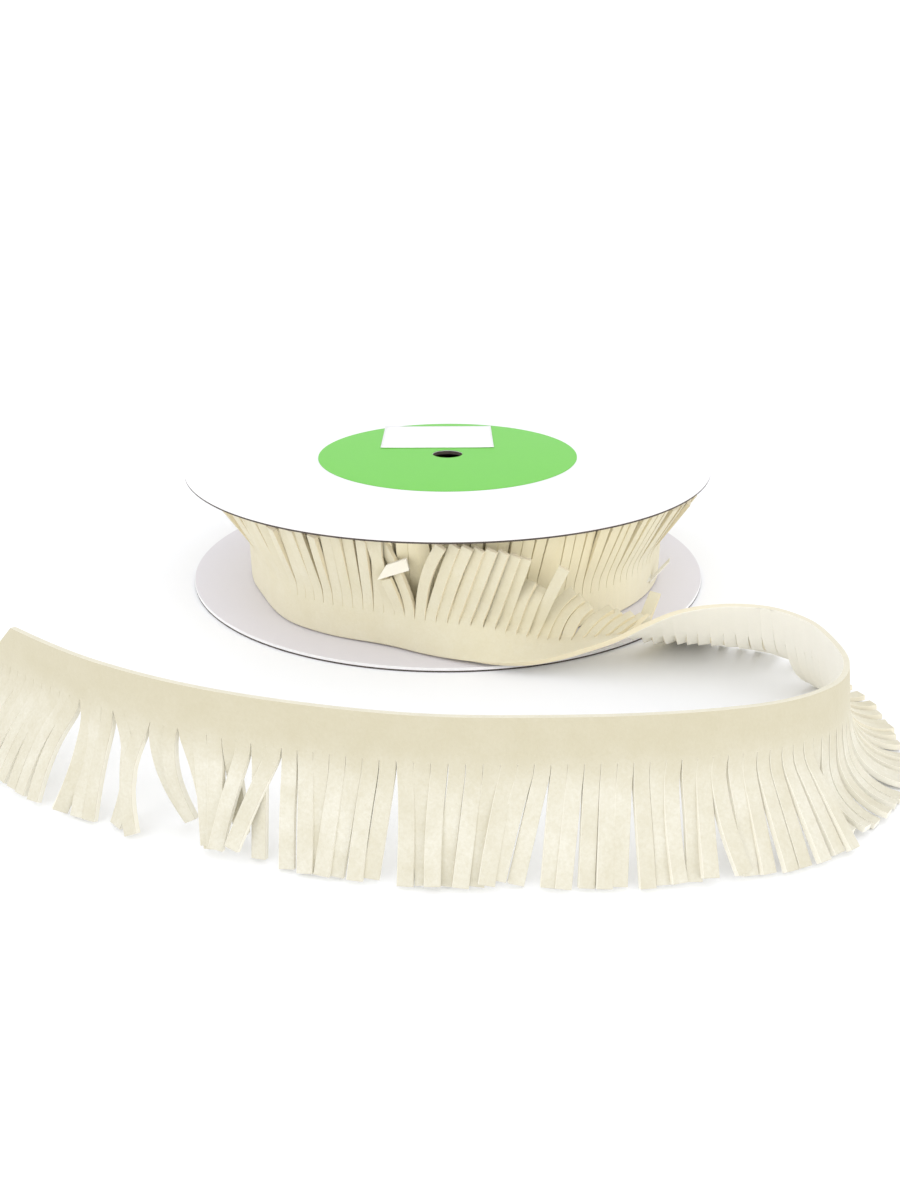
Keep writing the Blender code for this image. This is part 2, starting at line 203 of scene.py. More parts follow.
# The strands in front of the roll, counted from where the trim leaves it (less than 0 is
# still on the roll). After its number, a row says how far a strand is turned over, how it
# leans and curves along the trim, how it twists, then where along it the tip starts to
# curl over and by how much, and its length.
REEL_COLUMNS = ("turn", "lean", "side", "twist", "curl_from", "curl", "length")
REEL_STRANDS = (
    (-14, -25, 0, 0, 8, 0.5, 0, 18.2),
    (-13, -26, -1, 0, -6, 0.5, 0, 18.4),
    (-12, -25, 2, 0, 8, 0.5, 0, 18.2),
    (-11, -27, -2, 0, -12, 0.5, 0, 18.5),
    (-10, -23, -4, -2, 10, 0.5, 0, 18.3),
    (-9, -24, 3, 0, -8, 0.5, 0, 18.3),
    (-8, -22, 1, 0, 6, 0.5, 0, 18.4),
    (-7, -23, -2, 0, 10, 0.5, 0, 18.2),
    (-6, -20, -3, -2, -14, 0.5, 0, 18.3),
    (-5, -24, 3, 0, 12, 0.5, 0, 18.3),
    (-4, -20, 2, 2, -6, 0.5, 0, 18.4),
    (-3, -21, 0, 0, 8, 0.5, 0, 18.3),
    (-2, -19, -3, -2, -12, 0.5, 0, 18.4),
    (-1, -22, 2, 0, 16, 0.5, 0, 18.3),
    (0, -18, 1, 2, -8, 0.5, 0, 18.5),
    (1, -19, 2, 0, 8, 0.5, 0, 18.3),
    (2, -17, 2, 0, -6, 0.5, 0, 18.4),
    (3, -18, 4, 1, 8, 0.5, 0, 18.2),
    (4, -14, 6, 0, -10, 0.5, 0, 18.4),
    (5, -16, -4, -2, -30, 0.5, 0, 18.2),
    (6, -16, -12, -4, -10, 0.5, 0, 9.0),
    (7, -10, -8, -22, 8, 0.5, 0, 19.0),
    (8, -6, 2, 33, -8, 0.5, 0, 18.6),
    (9, -3, 17, 7, 6, 0.5, 0, 18.6),
    (10, -4, 16, 10, -8, 0.5, 0, 18.5),
    (11, -2, 21, 0, 6, 0.5, 0, 18.0),
    (12, -3, 22, 0, -4, 0.5, 0, 18.1),
    (13, -2, 21, 1, 5, 0.5, 0, 17.8),
    (14, -2, 21, 1, -4, 0.5, 0, 17.5),
    (15, -3, 21, 2, -14, 0.5, 0, 17.6),
    (16, 4, 20, 6, 6, 0.55, 50, 12.4),
    (17, 6, 22, 8, -6, 0.55, 50, 11.8),
    (18, -2, 28, 8, 8, 0.5, 0, 17.9),
    (19, 34, 16, 44, -20, 0.5, 30, 13.6),
    (20, 42, 14, 50, -20, 0.5, 30, 12.4),
    (21, 50, 14, 50, -20, 0.5, 30, 10.6),
    (22, 68, 26, 44, -10, 0.5, 20, 11.4),
    (23, 74, 28, 40, -16, 0.5, 20, 10.4),
    (24, 80, 36, 36, -10, 0.5, 10, 9.8),
    (25, 86, 44, 30, 0, 0.5, 0, 9.0),
    (26, 92, 40, 30, 40, 0.5, 30, 8.0),
    (27, 88, 26, 3, -35, 0.5, 0, 17.2),
)
AT_REEL = {row[0]: row[1:] for row in REEL_STRANDS}

# The strands of the front run, as they hang. After its number, a row says how far a
# strand's tip lies from straight below its root and how far its middle bows out, both
# towards the trim's cut end, how far the tip stands back, and how much longer the strand
# is than the rest.
FRONT_STRANDS = (
    (54, -0.4, 0.0, 0.3, -0.4),
    (55, 0.2, 0.0, -0.5, -0.6),
    (56, -0.3, 0.0, 0.4, -0.3),
    (57, -0.2, 0.0, -0.4, -0.7),
    (58, -0.3, 0.0, 0.3, -1.1),
    (59, 0.0, 0.0, -0.3, -0.4),
    (60, -0.5, 0.0, 0.2, -0.6),
    (61, -0.2, 0.0, -0.3, -0.2),
    (62, 0.0, 0.0, 0.2, -0.2),
    (63, -0.3, 0.0, -0.2, -0.1),
    (64, 0.0, 0.0, 0.3, -0.3),
    (65, -0.1, -0.2, 0.4, -0.4),
    (66, -1.2, 0.9, -0.9, -0.8),
    (67, 1.2, 0.1, -0.5, -0.8),
    (68, 0.6, -0.3, 0.4, -0.4),
    (69, 0.4, 0.5, -0.2, -0.4),
    (70, 0.0, 0.0, 0.2, -0.3),
    (71, 0.0, 0.0, -0.2, 0.0),
    (72, 1.5, 0.0, 0.3, -0.3),
    (73, 1.2, 0.0, -0.1, -0.1),
    (74, 1.2, 0.0, 0.3, -0.2),
    (75, 2.1, 0.0, -0.2, -0.1),
    (76, 1.7, 0.0, 0.1, -0.3),
    (77, 3.9, 0.0, 0.9, -0.2),
    (78, 4.4, 0.2, -0.2, -0.9),
    (79, 3.4, 0.2, -0.7, -0.5),
    (80, 2.3, 0.0, 0.4, -0.3),
    (81, 1.9, 0.0, -0.2, -0.2),
    (82, 1.7, 0.0, 0.5, -0.3),
    (83, 0.5, 0.3, -0.8, -0.4),
    (84, -0.9, 0.2, 0.3, -0.3),
    (85, -1.0, -0.2, -0.2, -0.1),
    (86, 1.5, 0.0, 0.3, -0.6),
    (87, 1.1, 0.2, -0.3, -0.2),
    (88, 1.5, 0.0, 0.3, -0.2),
    (89, 0.9, 0.0, -0.2, -0.2),
    (90, 0.7, 0.0, 0.4, -0.2),
    (91, -1.6, 0.0, -0.4, -0.1),
    (92, -1.1, 0.2, 0.2, -0.2),
    (93, 5.3, 0.3, -1.1, -1.3),
    (94, -1.2, 0.0, 1.3, -0.6),
    (95, 3.0, 0.3, -0.3, -1.0),
    (96, -1.6, -0.2, 4.9, -2.4),
    (97, -1.9, 0.0, 0.2, -0.9),
    (98, -3.4, 0.0, 0.4, -1.0),
    (99, -6.3, -0.9, 0.9, 0.3),
    (100, -3.7, 2.0, 4.0, -2.2),
    (101, -4.9, 2.0, 5.7, -1.0),
    (102, -0.9, 2.4, -0.8, 0.7),
    (103, -0.4, 1.0, 1.9, -1.2),
    (104, -2.0, -2.0, 0.4, 0.3),
    (105, 0.1, 0.5, -0.5, 0.1),
    (106, -0.1, 0.4, -0.7, 0.2),
    (107, 0.4, -1.2, -1.4, 0.3),
    (108, 3.2, 1.6, -2.1, 0.9),
    (109, 4.0, 1.4, -1.9, 1.0),
    (110, 3.9, 1.4, -1.6, 0.8),
    (111, 4.8, 1.0, -1.5, 0.8),
    (112, 4.2, 1.0, -1.4, 0.7),
    (113, 4.6, 0.8, -1.5, 0.7),
    (114, 4.4, 0.8, -1.2, 0.6),
    (115, 4.3, 0.6, -1.5, 0.7),
    (116, 4.2, 0.6, -1.2, 0.6),
    (117, 4.0, 0.5, -1.4, 0.6),
    (118, 3.8, 0.4, -1.1, 0.5),
)
IN_FRONT = {row[0]: row[1:] for row in FRONT_STRANDS}

# Strands of the front run whose twist is listed
TWISTED_STRANDS = {107: 58.0}

# Each row is a cut's number, and how much further along it is than an evenly spaced one,
# in strands.
CUT_DRIFT = (
    (0, 0.0),
    (50, 0.0),
    (58, -0.25),
    (64, -0.25),
    (68, 0.0),
    (78, 0.0),
    (92, 0.28),
    (97, 0.28),
    (107, 1.0),
    (120, 1.9),
)

# The strands where the trim lies low, which bend to lie along the floor: the furthest
# they curl, and where along them that starts. Then the steps in which a strand settles.
LOW_STRANDS = range(40, 59)
LIES_FLAT = -74.0
SETTLES_FROM = 0.3
CURL_STEP = 2.0
TURN_STEP = 1.0

# How far strands differ by chance, either way, and by how much some are shorter
VARIED_TURN = 1.5
VARIED_SIDE = 1.5
WOUND_TWIST = 10.0
LOOSE_TWIST = 7.0
FRONT_TWIST = 6.0
LOOSE_LEAN = 3.0
SHORTER_BY = 0.6

# The bunches of wound strands that lean together
SMALLEST_BUNCH = 2
LARGEST_BUNCH = 6
BUNCH_FLARE = 2.0
BUNCH_SIDE = 4.0

# The folded-over end of strand 6, as the corners of its flap about the reel's axis
FOLDED_END = ((-14.3, -55.3, 17.2), (-12.4, -55.3, 20.4), (-8.3, -56.1, 22.1), (-7.7, -56.1, 19.5))

# A strand of the roll that sticks out low at its right, in two flaps like the one above
STRAY_STRAND = ((44.4, -24.0, 8.0), (46.4, -24.7, 4.0), (48.3, -22.2, 4.0), (46.1, -22.7, 8.0))
STRAY_TIP = ((47.6, -23.6, 3.6), (52.4, -20.6, 7.6), (52.7, -19.8, 8.4), (47.8, -22.8, 4.6))

# What a flap's points hold for the suede's material
FLAP_LOOKS = {"pale_and_painted_light": 1.0, "tone": 0.0, "painted_warm_light": 0.0, "painted_bounce": 0.0}

# How finely the strands and the round pieces are divided
ACROSS_STRAND = (-1.0, 0.0, 1.0)
STRAND_STEPS = 12
ROUND_STEPS = 256

# How much of its shade the suede takes from the nap's clouds, from a strand's own tone
# and from the nap's fibres, and the golden colour painted in between its turns: painted
# bounce light, standing in for the light that the suede throws to and fro there
CLOUD_SHARE = 0.35
TONE_SHARE = 0.25
FIBRE_SHARE = 0.3
PAINTED_BOUNCE_GOLD = (0.86, 0.79, 0.565)

# The part of a noise's range that is used, and of two added ones
NOISE_RANGE = (0.3, 0.7)
ADDED_RANGE = (0.5, 1.1)

# The camera: its place about the reel's axis, and how far it looks down and rolls, in radians
PICTURE_HEIGHT = 1200
FOCAL_PIXELS = 1087
SENSOR = 36.0
CAMERA_PLACE = (0.46, -261.7, 98.1)
CAMERA_PITCH = 0.3929
CAMERA_ROLL = -0.004

# The floor, a sweep that curves up behind, and the lights, with their sizes in metres
FLOOR_HALF_WIDTH = 1.5
FLOOR_NEAR = -1.2
FLOOR_FAR = 1.6
SWEEP_RADIUS = 0.8
SWEEP_TOP = 2.4
SWEEP_STEPS = 16
FLOOR_WHITE = (0.925, 0.935, 0.96, 1.0)
SURROUND_WHITE = (1.0, 1.0, 1.0, 1.0)
SURROUND_STRENGTH = 1.17
LAMPS = {"front_left": (-0.85, -1.05, 0.35), "front_right": (1.15, -0.75, 0.35)}
LAMP_SIZE = 1.0
LAMP_POWER = 4.5

random = np.random.RandomState(seed=11)


def clamped(value):
    return min(max(value, 0.0), 1.0)


def eased(share):
    """A share from 0 to 1 that starts and ends softly."""
    return share * share * (3.0 - 2.0 * share)


def either_way(most):
    return random.uniform(-most, most)


def placed(points):
    """Millimetres about the reel's axis, as metres in the frame."""
    return [tuple(p) for p in np.asarray(points, dtype=float) * MM + REEL_AXIS]


def make_object(name, data):
    obj = bpy.data.objects.new(name, data)
    bpy.context.scene.collection.objects.link(obj)
    return obj


def make_piece(name, points, faces, materials):
    mesh = bpy.data.meshes.new(name)
    mesh.from_pydata(placed(points), [], faces)
    for mat in materials:
        mesh.materials.append(mat)
    mesh.shade_smooth()
    return make_object(name, mesh)


def round_point(radius, height, turn):
    return radius * math.cos(turn), radius * math.sin(turn), height


def ring_faces(count):
    """The faces between round pieces' profiles of so many points each, all the way round."""
    faces = []
    for i in range(ROUND_STEPS):
        here = i * count
        there = ((i + 1) % ROUND_STEPS) * count
        for j in range(count):
            k = (j + 1) % count
            faces.append((here + j, there + j, there + k, here + k))
    return faces


def hold_values(piece, values):
    """Gives each of a piece's points its values, under the names that its material reads."""
    for label, numbers in values.items():
        attribute = piece.data.attributes.new(label, "FLOAT", "POINT")
        attribute.data.foreach_set("value", numbers)


def thicken(obj, thickness, back=0, rim=0):
    """Gives a sheet its thickness, half to each side."""
    solid = obj.modifiers.new("Thickness", "SOLIDIFY")
    solid.thickness = thickness * MM
    solid.offset = 0.0
    solid.use_even_offset = False
    solid.material_offset = back
    solid.material_offset_rim = rim


# Shader groups


def new_group(name, inputs, outputs):
    tree = bpy.data.node_groups.new(name, "ShaderNodeTree")
    for label, kind, value in inputs:
        socket = tree.interface.new_socket(label, in_out="INPUT", socket_type=kind)
        if value is not None:
            socket.default_value = value
    for label, kind in outputs:
        tree.interface.new_socket(label, in_out="OUTPUT", socket_type=kind)
    return tree, tree.nodes.new("NodeGroupInput"), tree.nodes.new("NodeGroupOutput")


def noise(tree, vector, scale, detail, roughness=0.5):
    """A noise whose scale comes from a socket."""
    node = tree.nodes.new("ShaderNodeTexNoise")
    node.inputs["Detail"].default_value = detail
    node.inputs["Roughness"].default_value = roughness
    tree.links.new(vector, node.inputs["Vector"])
    tree.links.new(scale, node.inputs["Scale"])
    return node.outputs["Fac"]


def spread(tree, value, low, high, to_low=0.0, to_high=1.0):
    """A value's range from low to high, stretched to another range."""
    node = tree.nodes.new("ShaderNodeMapRange")
    node.inputs["From Min"].default_value = low
    node.inputs["From Max"].default_value = high
    node.inputs["To Min"].default_value = to_low
    node.inputs["To Max"].default_value = to_high
    tree.links.new(value, node.inputs["Value"])
    return node.outputs["Result"]


def blend_colours(tree, share, first, second):
    """A mix of two colours, each a socket or a fixed colour."""
    node = tree.nodes.new("ShaderNodeMix")
    node.data_type = "RGBA"
    for label, colour in (("A", first), ("B", second)):
        socket = next(s for s in node.inputs if s.name == label and s.type == "RGBA")
        if isinstance(colour, tuple):
            socket.default_value = (*colour, 1.0)
        else:
            tree.links.new(colour, socket)
    tree.links.new(share, node.inputs["Factor"])
    return next(s for s in node.outputs if s.type == "RGBA")


def shaded(tree, value, most, colour, shade):
    """A colour that takes on up to so much of its shade as a value goes from 0 to 1."""
    return blend_colours(tree, spread(tree, value, 0.0, 1.0, to_high=most), colour, shade)


def add_values(tree, first, second, weight):
    """first + weight * second"""
    node = tree.nodes.new("ShaderNodeMath")
    node.operation = "MULTIPLY_ADD"
    node.inputs[1].default_value = weight
    tree.links.new(second, node.inputs[0])
    tree.links.new(first, node.inputs[2])
    return node.outputs[0]


def nap_group():
    """The brushed pile of suede: slow clouds where it lies another way, and fine fibres."""
    tree, given, made = new_group(
        "Brushed nap",
        (
            ("Position", "NodeSocketVector", None),
            ("Cloud Scale", "NodeSocketFloat", 220.0),
            ("Fibre Scale", "NodeSocketFloat", 1900.0),
        ),
        (("Cloud", "NodeSocketFloat"), ("Fibre", "NodeSocketFloat"), ("Height", "NodeSocketFloat")),
    )
    where = given.outputs["Position"]
    cloud = noise(tree, where, given.outputs["Cloud Scale"], detail=3.0)
    fibre = noise(tree, where, given.outputs["Fibre Scale"], detail=2.0, roughness=0.65)
    cloud = spread(tree, cloud, *NOISE_RANGE)
    tree.links.new(cloud, made.inputs["Cloud"])
    tree.links.new(spread(tree, fibre, *NOISE_RANGE), made.inputs["Fibre"])
    tree.links.new(add_values(tree, fibre, cloud, weight=0.4), made.inputs["Height"])
    return tree


def paper_group():
    """Pressed paper: fine fibres, with a slow unevenness from the press."""
    tree, given, made = new_group(
        "Pressed paper",
        (
            ("Position", "NodeSocketVector", None),
            ("Fibre Scale", "NodeSocketFloat", 900.0),
            ("Press Scale", "NodeSocketFloat", 60.0),
        ),
        (("Mottle", "NodeSocketFloat"), ("Height", "NodeSocketFloat")),
    )
    where = given.outputs["Position"]
    fibre = noise(tree, where, given.outputs["Fibre Scale"], detail=4.0, roughness=0.6)
    press = noise(tree, where, given.outputs["Press Scale"], detail=2.0)
    both = add_values(tree, fibre, press, weight=0.6)
    tree.links.new(spread(tree, both, *ADDED_RANGE), made.inputs["Mottle"])
    tree.links.new(both, made.inputs["Height"])
    return tree


NAP = nap_group()
PAPER_FIBRE = paper_group()


# Materials


def new_material(name, roughness, group):
    """A material whose shader has a group and the piece's own coordinates beside it."""
    mat = bpy.data.materials.new(name)
    mat.use_nodes = True
    tree = mat.node_tree
    shader = tree.nodes["Principled BSDF"]
    shader.inputs["Roughness"].default_value = roughness
    where = tree.nodes.new("ShaderNodeTexCoord").outputs["Object"]
    effect = tree.nodes.new("ShaderNodeGroup")
    effect.node_tree = group
    tree.links.new(where, effect.inputs["Position"])
    return mat, tree, shader, effect


def add_bump(tree, shader, height, strength, depth):
    """Bumps on a shader, their depth in metres."""
    bump = tree.nodes.new("ShaderNodeBump")
    bump.inputs["Strength"].default_value = strength
    bump.inputs["Distance"].default_value = depth
    tree.links.new(height, bump.inputs["Height"])
    tree.links.new(bump.outputs["Normal"], shader.inputs["Normal"])


def held_by_mesh(tree, label):
    """A value that the mesh holds at each of its points."""
    node = tree.nodes.new("ShaderNodeAttribute")
    node.attribute_name = label
    return node.outputs["Fac"]


def suede(name, loose, wound, fibre_depth):
    """Suede whose pile darkens in clouds, with each strand a little apart in tone. loose
    and wound are its colours on the loose run and on the roll: its pile, the pile's shade
    and the paler pile. The roll's colours are a lighter, more golden copy, as painted warm
    light, and the paler pile is partly the strands' own colour and partly painted light."""
    mat, tree, shader, nap = new_material(name, roughness=0.95, group=NAP)
    shader.inputs["Sheen Weight"].default_value = 0.25
    shader.inputs["Sheen Roughness"].default_value = 0.6
    shader.inputs["Sheen Tint"].default_value = (1.0, 0.97, 0.9, 1.0)
    shader.inputs["Specular IOR Level"].default_value = 0.2
    # Painted warm light: on the roll the colours blend to a lighter, more golden copy
    painted_warm_light = held_by_mesh(tree, "painted_warm_light")
    pile, shade, pale_pile = (blend_colours(tree, painted_warm_light, *pair) for pair in zip(loose, wound))
    # The paler pile: partly the strands' own paler colour, partly painted light
    ground = blend_colours(tree, held_by_mesh(tree, "pale_and_painted_light"), pile, pale_pile)
    clouded = shaded(tree, nap.outputs["Cloud"], CLOUD_SHARE, ground, shade)
    toned = shaded(tree, held_by_mesh(tree, "tone"), TONE_SHARE, clouded, shade)
    fibred = shaded(tree, nap.outputs["Fibre"], FIBRE_SHARE, toned, shade)
    # Painted bounce light: where the mesh asks for it, the colour turns golden, standing in for light
    # thrown between the turns
    with_painted_bounce = blend_colours(tree, held_by_mesh(tree, "painted_bounce"), fibred, PAINTED_BOUNCE_GOLD)
    tree.links.new(with_painted_bounce, shader.inputs["Base Color"])
    add_bump(tree, shader, nap.outputs["Height"], strength=0.35, depth=fibre_depth)
    return mat


def paper(name, colour, shade, roughness, coat=0.0, mottle=0.3):
    """Printed or coated paper on card."""
    mat, tree, shader, fibre = new_material(name, roughness, PAPER_FIBRE)
    shader.inputs["Coat Weight"].default_value = coat
    shader.inputs["Coat Roughness"].default_value = 0.3
    tinted = shaded(tree, fibre.outputs["Mottle"], mottle, colour, shade)
    tree.links.new(tinted, shader.inputs["Base Color"])
    add_bump(tree, shader, fibre.outputs["Height"], strength=0.12, depth=0.00005)
    return mat


# The wound colours: a lighter, more golden copy of the loose ones, painted warm light on the roll
SUEDE_FACE = suede(
    "suede_face",
    loose=((0.56, 0.52, 0.395), (0.49, 0.445, 0.305), (0.71, 0.69, 0.605)),
    wound=((0.56, 0.52, 0.395), (0.65, 0.59, 0.40), (0.735, 0.695, 0.55)),
    fibre_depth=0.00015,
)
# Painted light: the back's colours are set much lighter than the face's, standing in for the light on the
# loop's inner face
SUEDE_BACK = suede(
    "suede_back",
    loose=((0.88, 0.86, 0.79), (0.82, 0.795, 0.71), (0.86, 0.82, 0.69)),
    wound=((0.88, 0.86, 0.79), (0.82, 0.795, 0.71), (0.86, 0.82, 0.69)),
    fibre_depth=0.00008,
)
# Painted light: the cut edges are lighter than the face, taking the shade out of the slits between strands;
# on the roll their golden copy is painted warm light
SUEDE_CUT = suede(
    "suede_cut",
    loose=((0.60, 0.565, 0.44), (0.77, 0.74, 0.63), (0.82, 0.795, 0.70)),
    wound=((0.72, 0.70, 0.62), (0.72, 0.64, 0.45), (0.77, 0.69, 0.49)),
    fibre_depth=0.0001,
)
CARD_FACE = paper("card_face", (0.84, 0.83, 0.86), (0.80, 0.79, 0.82), roughness=0.42, coat=0.15)
# Painted shade: the flanges' faces towards each other are the white card made darker and lilac
CARD_INSIDE_PAINTED_SHADE = paper("card_inside_painted_shade", (0.745, 0.725, 0.775), (0.705, 0.685, 0.735), roughness=0.5, coat=0.05)
CARD_EDGE = paper("card_edge", (0.88, 0.87, 0.88), (0.80, 0.79, 0.80), roughness=0.9, mottle=1.0)
# Painted shadow: near black for the spindle hole's wall and the lower part of the flanges' rims
CARD_PAINTED_SHADOW = paper("card_painted_shadow", (0.05, 0.04, 0.035), (0.10, 0.08, 0.07), roughness=0.9, mottle=1.0)
CORE_CARD = paper("core_card", (0.32, 0.27, 0.22), (0.22, 0.18, 0.14), roughness=0.9, mottle=0.8)
GREEN_PAPER = paper("label_green", (0.115, 0.54, 0.015), (0.095, 0.49, 0.012), roughness=0.4)
WHITE_PAPER = paper("sticker_white", (0.86, 0.86, 0.86), (0.80, 0.80, 0.81), roughness=0.35, coat=0.3)


# Reel


def turned_piece(name, profile, bands, materials):
    """A round piece from a profile of (radius, height), listed anticlockwise. bands holds
    the material of the face that starts at each profile point."""
    points = []
    for i in range(ROUND_STEPS):
        turn = 2 * math.pi * i / ROUND_STEPS
        points += [round_point(radius, height, turn) for radius, height in profile]
    piece = make_piece(name, points, ring_faces(len(profile)), materials)
    piece.data.polygons.foreach_set("material_index", bands * ROUND_STEPS)
    piece.data.set_sharp_from_angle(angle=CARD_CREASE)
    return piece


def card_disc(name, outer, low, high, rounding, materials, under=0, above=0):
    """A flat disc round the spindle with softened rims, its rim in the second material. The
    hole's wall and the rim's lower part are in the last one, which on the flanges is a
    painted shadow: the shade in the hole and the shadow line under the rim. under and above
    are the materials' numbers on the underside and on the top."""
    profile = (
        (SPINDLE_RADIUS + rounding, low),
        (outer - rounding, low),
        (outer, low + rounding),
        (outer, low + min(PAINTED_SHADOW_HEIGHT, (high - low) / 2)),
        (outer, high - rounding),
        (outer - rounding, high),
        (SPINDLE_RADIUS + rounding, high),
        (SPINDLE_RADIUS, high - rounding),
        (SPINDLE_RADIUS, low + rounding),
    )
    edge = min(1, len(materials) - 1)
    shadow_band = len(materials) - 1
    bands = (under, shadow_band, shadow_band, edge, edge, above, edge, shadow_band, shadow_band)
    return turned_piece(name, profile, bands, materials)


def reel():
    """Both flanges, the label and the sticker on it; the core keeps its own shape."""
    cards = (CARD_FACE, CARD_EDGE, CARD_INSIDE_PAINTED_SHADE, CARD_PAINTED_SHADOW)
    outside = cards.index(CARD_FACE)
    # The flanges' faces towards each other take the card's painted shade
    inside = cards.index(CARD_INSIDE_PAINTED_SHADE)
    flanges = (
        ("flange_lower", 0.0, outside, inside),
        ("flange_upper", UPPER_FLANGE_HEIGHT, inside, outside),
    )
    for name, low, under, above in flanges:
        disc = card_disc("reel_" + name, FLANGE_RADIUS, low, low + CARD, CARD_ROUNDING, cards, under, above)
        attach(disc, "root")
        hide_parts(name)
    low = UPPER_FLANGE_HEIGHT + CARD + PAPER_GAP
    label = card_disc("reel_label", LABEL_RADIUS, low, low + PAPER, PAPER_ROUNDING, (GREEN_PAPER,))
    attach(label, "root")
    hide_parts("label")
    patch = sticker(UPPER_FLANGE_HEIGHT + CARD + 2 * (PAPER_GAP + PAPER))
    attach(patch, "root")
    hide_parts("sticker")
    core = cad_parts["core"]
    core.data.materials.clear()
    core.data.materials.append(CORE_CARD)


def sticker(height):
    """A plain white paper rectangle, pressed down but for its lifting corners."""
    low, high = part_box("sticker")
    x0, x1 = ((v - REEL_AXIS[0]) / MM for v in (low.x, high.x))
    y0, y1 = ((v - REEL_AXIS[1]) / MM for v in (low.y, high.y))
    row = STICKER_STEPS + 1
    points = []
    for j in range(row):
        for i in range(row):
            u = i / STICKER_STEPS
            v = j / STICKER_STEPS
            off_middle = abs(u * 2 - 1) + abs(v * 2 - 1)
            lift = CORNER_LIFT * max(0.0, off_middle - CORNER_FROM) ** 2
            points.append((x0 + (x1 - x0) * u, y0 + (y1 - y0) * v, height + lift))
    corners = [j * row + i for j in range(STICKER_STEPS) for i in range(STICKER_STEPS)]
    faces = [(here, here + 1, here + row + 1, here + row) for here in corners]
    patch = make_piece("reel_sticker", points, faces, (WHITE_PAPER,))
    thicken(patch, STICKER)
    return patch


# How the trim runs


def turn_radius(angle):
    """Outside of the roll at an angle, counted from where the last turn starts: the spiral
    gains one pitch in a full turn, each turn has a flatter side, and the last one's end
    stands off."""
    lean = LOPSIDED * math.cos(math.radians(LEAVE_ANGLE + angle))
    loose = clamped((angle - SLACK_FROM) / (SLACK_UNTIL - SLACK_FROM))
    in_turn = angle % 360.0
    rise = (in_turn - FLAT_FROM) / (FLAT_BY - FLAT_FROM)
    fall = (FLAT_OVER - in_turn) / (FLAT_OVER - FLAT_UNTIL)
    slack = SLACK * eased(loose) - FLAT_SIDE * eased(clamped(min(rise, fall)))
    return ROLL_RADIUS + lean + TURN_PITCH * angle / 360.0 + slack


class TrimPath:
    """The trim's uncut edge. Distances run from where it leaves the roll: less than 0 on
    the roll, more than 0 on the loose run, which is a smooth curve through its sections."""

    def __init__(self):
        turn = math.radians(LEAVE_ANGLE)
        edge = round_point(turn_radius(360.0) - SUEDE / 2, ROLL_BOTTOM, turn)
        start = (*edge, 0.0, ROLL_FLARE, 0.0)
        self.rows = np.array((start,) + SECTIONS, dtype=float)
        steps = np.linalg.norm(np.diff(self.rows[:, :3], axis=0), axis=1)
        self.knots = np.concatenate(((0.0,), np.cumsum(steps)))
        self.length = float(self.knots[-1])
        self.slopes = self.row_slopes()
        self.slopes[0, :3] = (-math.sin(turn), math.cos(turn), 0.0)

    def row_slopes(self):
        """How fast each value of the rows changes along the trim."""
        gaps = np.diff(self.knots)[:, None]
        rises = np.diff(self.rows, axis=0) / gaps
        slopes = np.zeros_like(self.rows)
        slopes[1:-1] = (rises[:-1] * gaps[1:] + rises[1:] * gaps[:-1]) / (gaps[1:] + gaps[:-1])
        slopes[0] = rises[0]
        slopes[-1] = rises[-1]
        return slopes

    def row(self, along):
        """A row of values between the sections, on a cubic curve."""
        i = int(np.searchsorted(self.knots, along, side="right")) - 1
        i = min(max(i, 0), len(self.knots) - 2)
        gap = self.knots[i + 1] - self.knots[i]
        t = (along - self.knots[i]) / gap
        near = (2 * t ** 3 - 3 * t ** 2 + 1) * self.rows[i]
        near += (t ** 3 - 2 * t ** 2 + t) * gap * self.slopes[i]
        far = (3 * t ** 2 - 2 * t ** 3) * self.rows[i + 1]
        far += (t ** 3 - t ** 2) * gap * self.slopes[i + 1]
        return near + far

    def section(self, along):
        """Place, forward direction, heading turn, strand turn and side turn."""
        if along < 0.0:
            return self.wound_section(along)
        row = self.row(along)
        reach = 0.1
        forward = (self.row(along + reach) - self.row(max(along - reach, 0.0)))[:3]
        forward /= np.linalg.norm(forward)
        return row[:3], forward, *row[3:]

    def wound_section(self, along):
        """The same on the roll, whose outer turn takes up the distances less than 0."""
        angle = 360.0 * (1.0 + along / TURN_LENGTH)
        turn = math.radians(LEAVE_ANGLE + angle)
        place = np.array(round_point(turn_radius(angle) - SUEDE / 2, ROLL_BOTTOM, turn))
        forward = np.array((-math.sin(turn), math.cos(turn), 0.0))
        return place, forward, 0.0, ROLL_FLARE, 0.0


PATH = TrimPath()


def square_to(forward):
    """The upright and the leftward direction that are square to the trim's length."""
    upright = np.array((0.0, 0.0, 1.0)) - forward * forward[2]
    upright /= np.linalg.norm(upright)
    return upright, np.cross(upright, forward)


@dataclass
class Strand:
    """One strand of the fringe. Its place is the middle of its root, along the trim."""

    along: float
    half_width: float
    turn: float
    side: float = 0.0
    lean: float = 0.0
    bow: float = 0.0
    twist: float = 0.0
    curl: float = 0.0
    curl_from: float = 0.5
    length: float = STRAND_LENGTH
    tone: float = EVEN_TONE
    # How far painted light lifts the heading's colour to the paler pile
    heading_painted_light: float = WOUND_HEADING_PAINTED_LIGHT
    # How much of the roll's painted warm light the strand takes
    painted_warm_light: float = 1.0
    # How much painted bounce light, a golden colour, the strand takes
    painted_bounce: float = 0.0


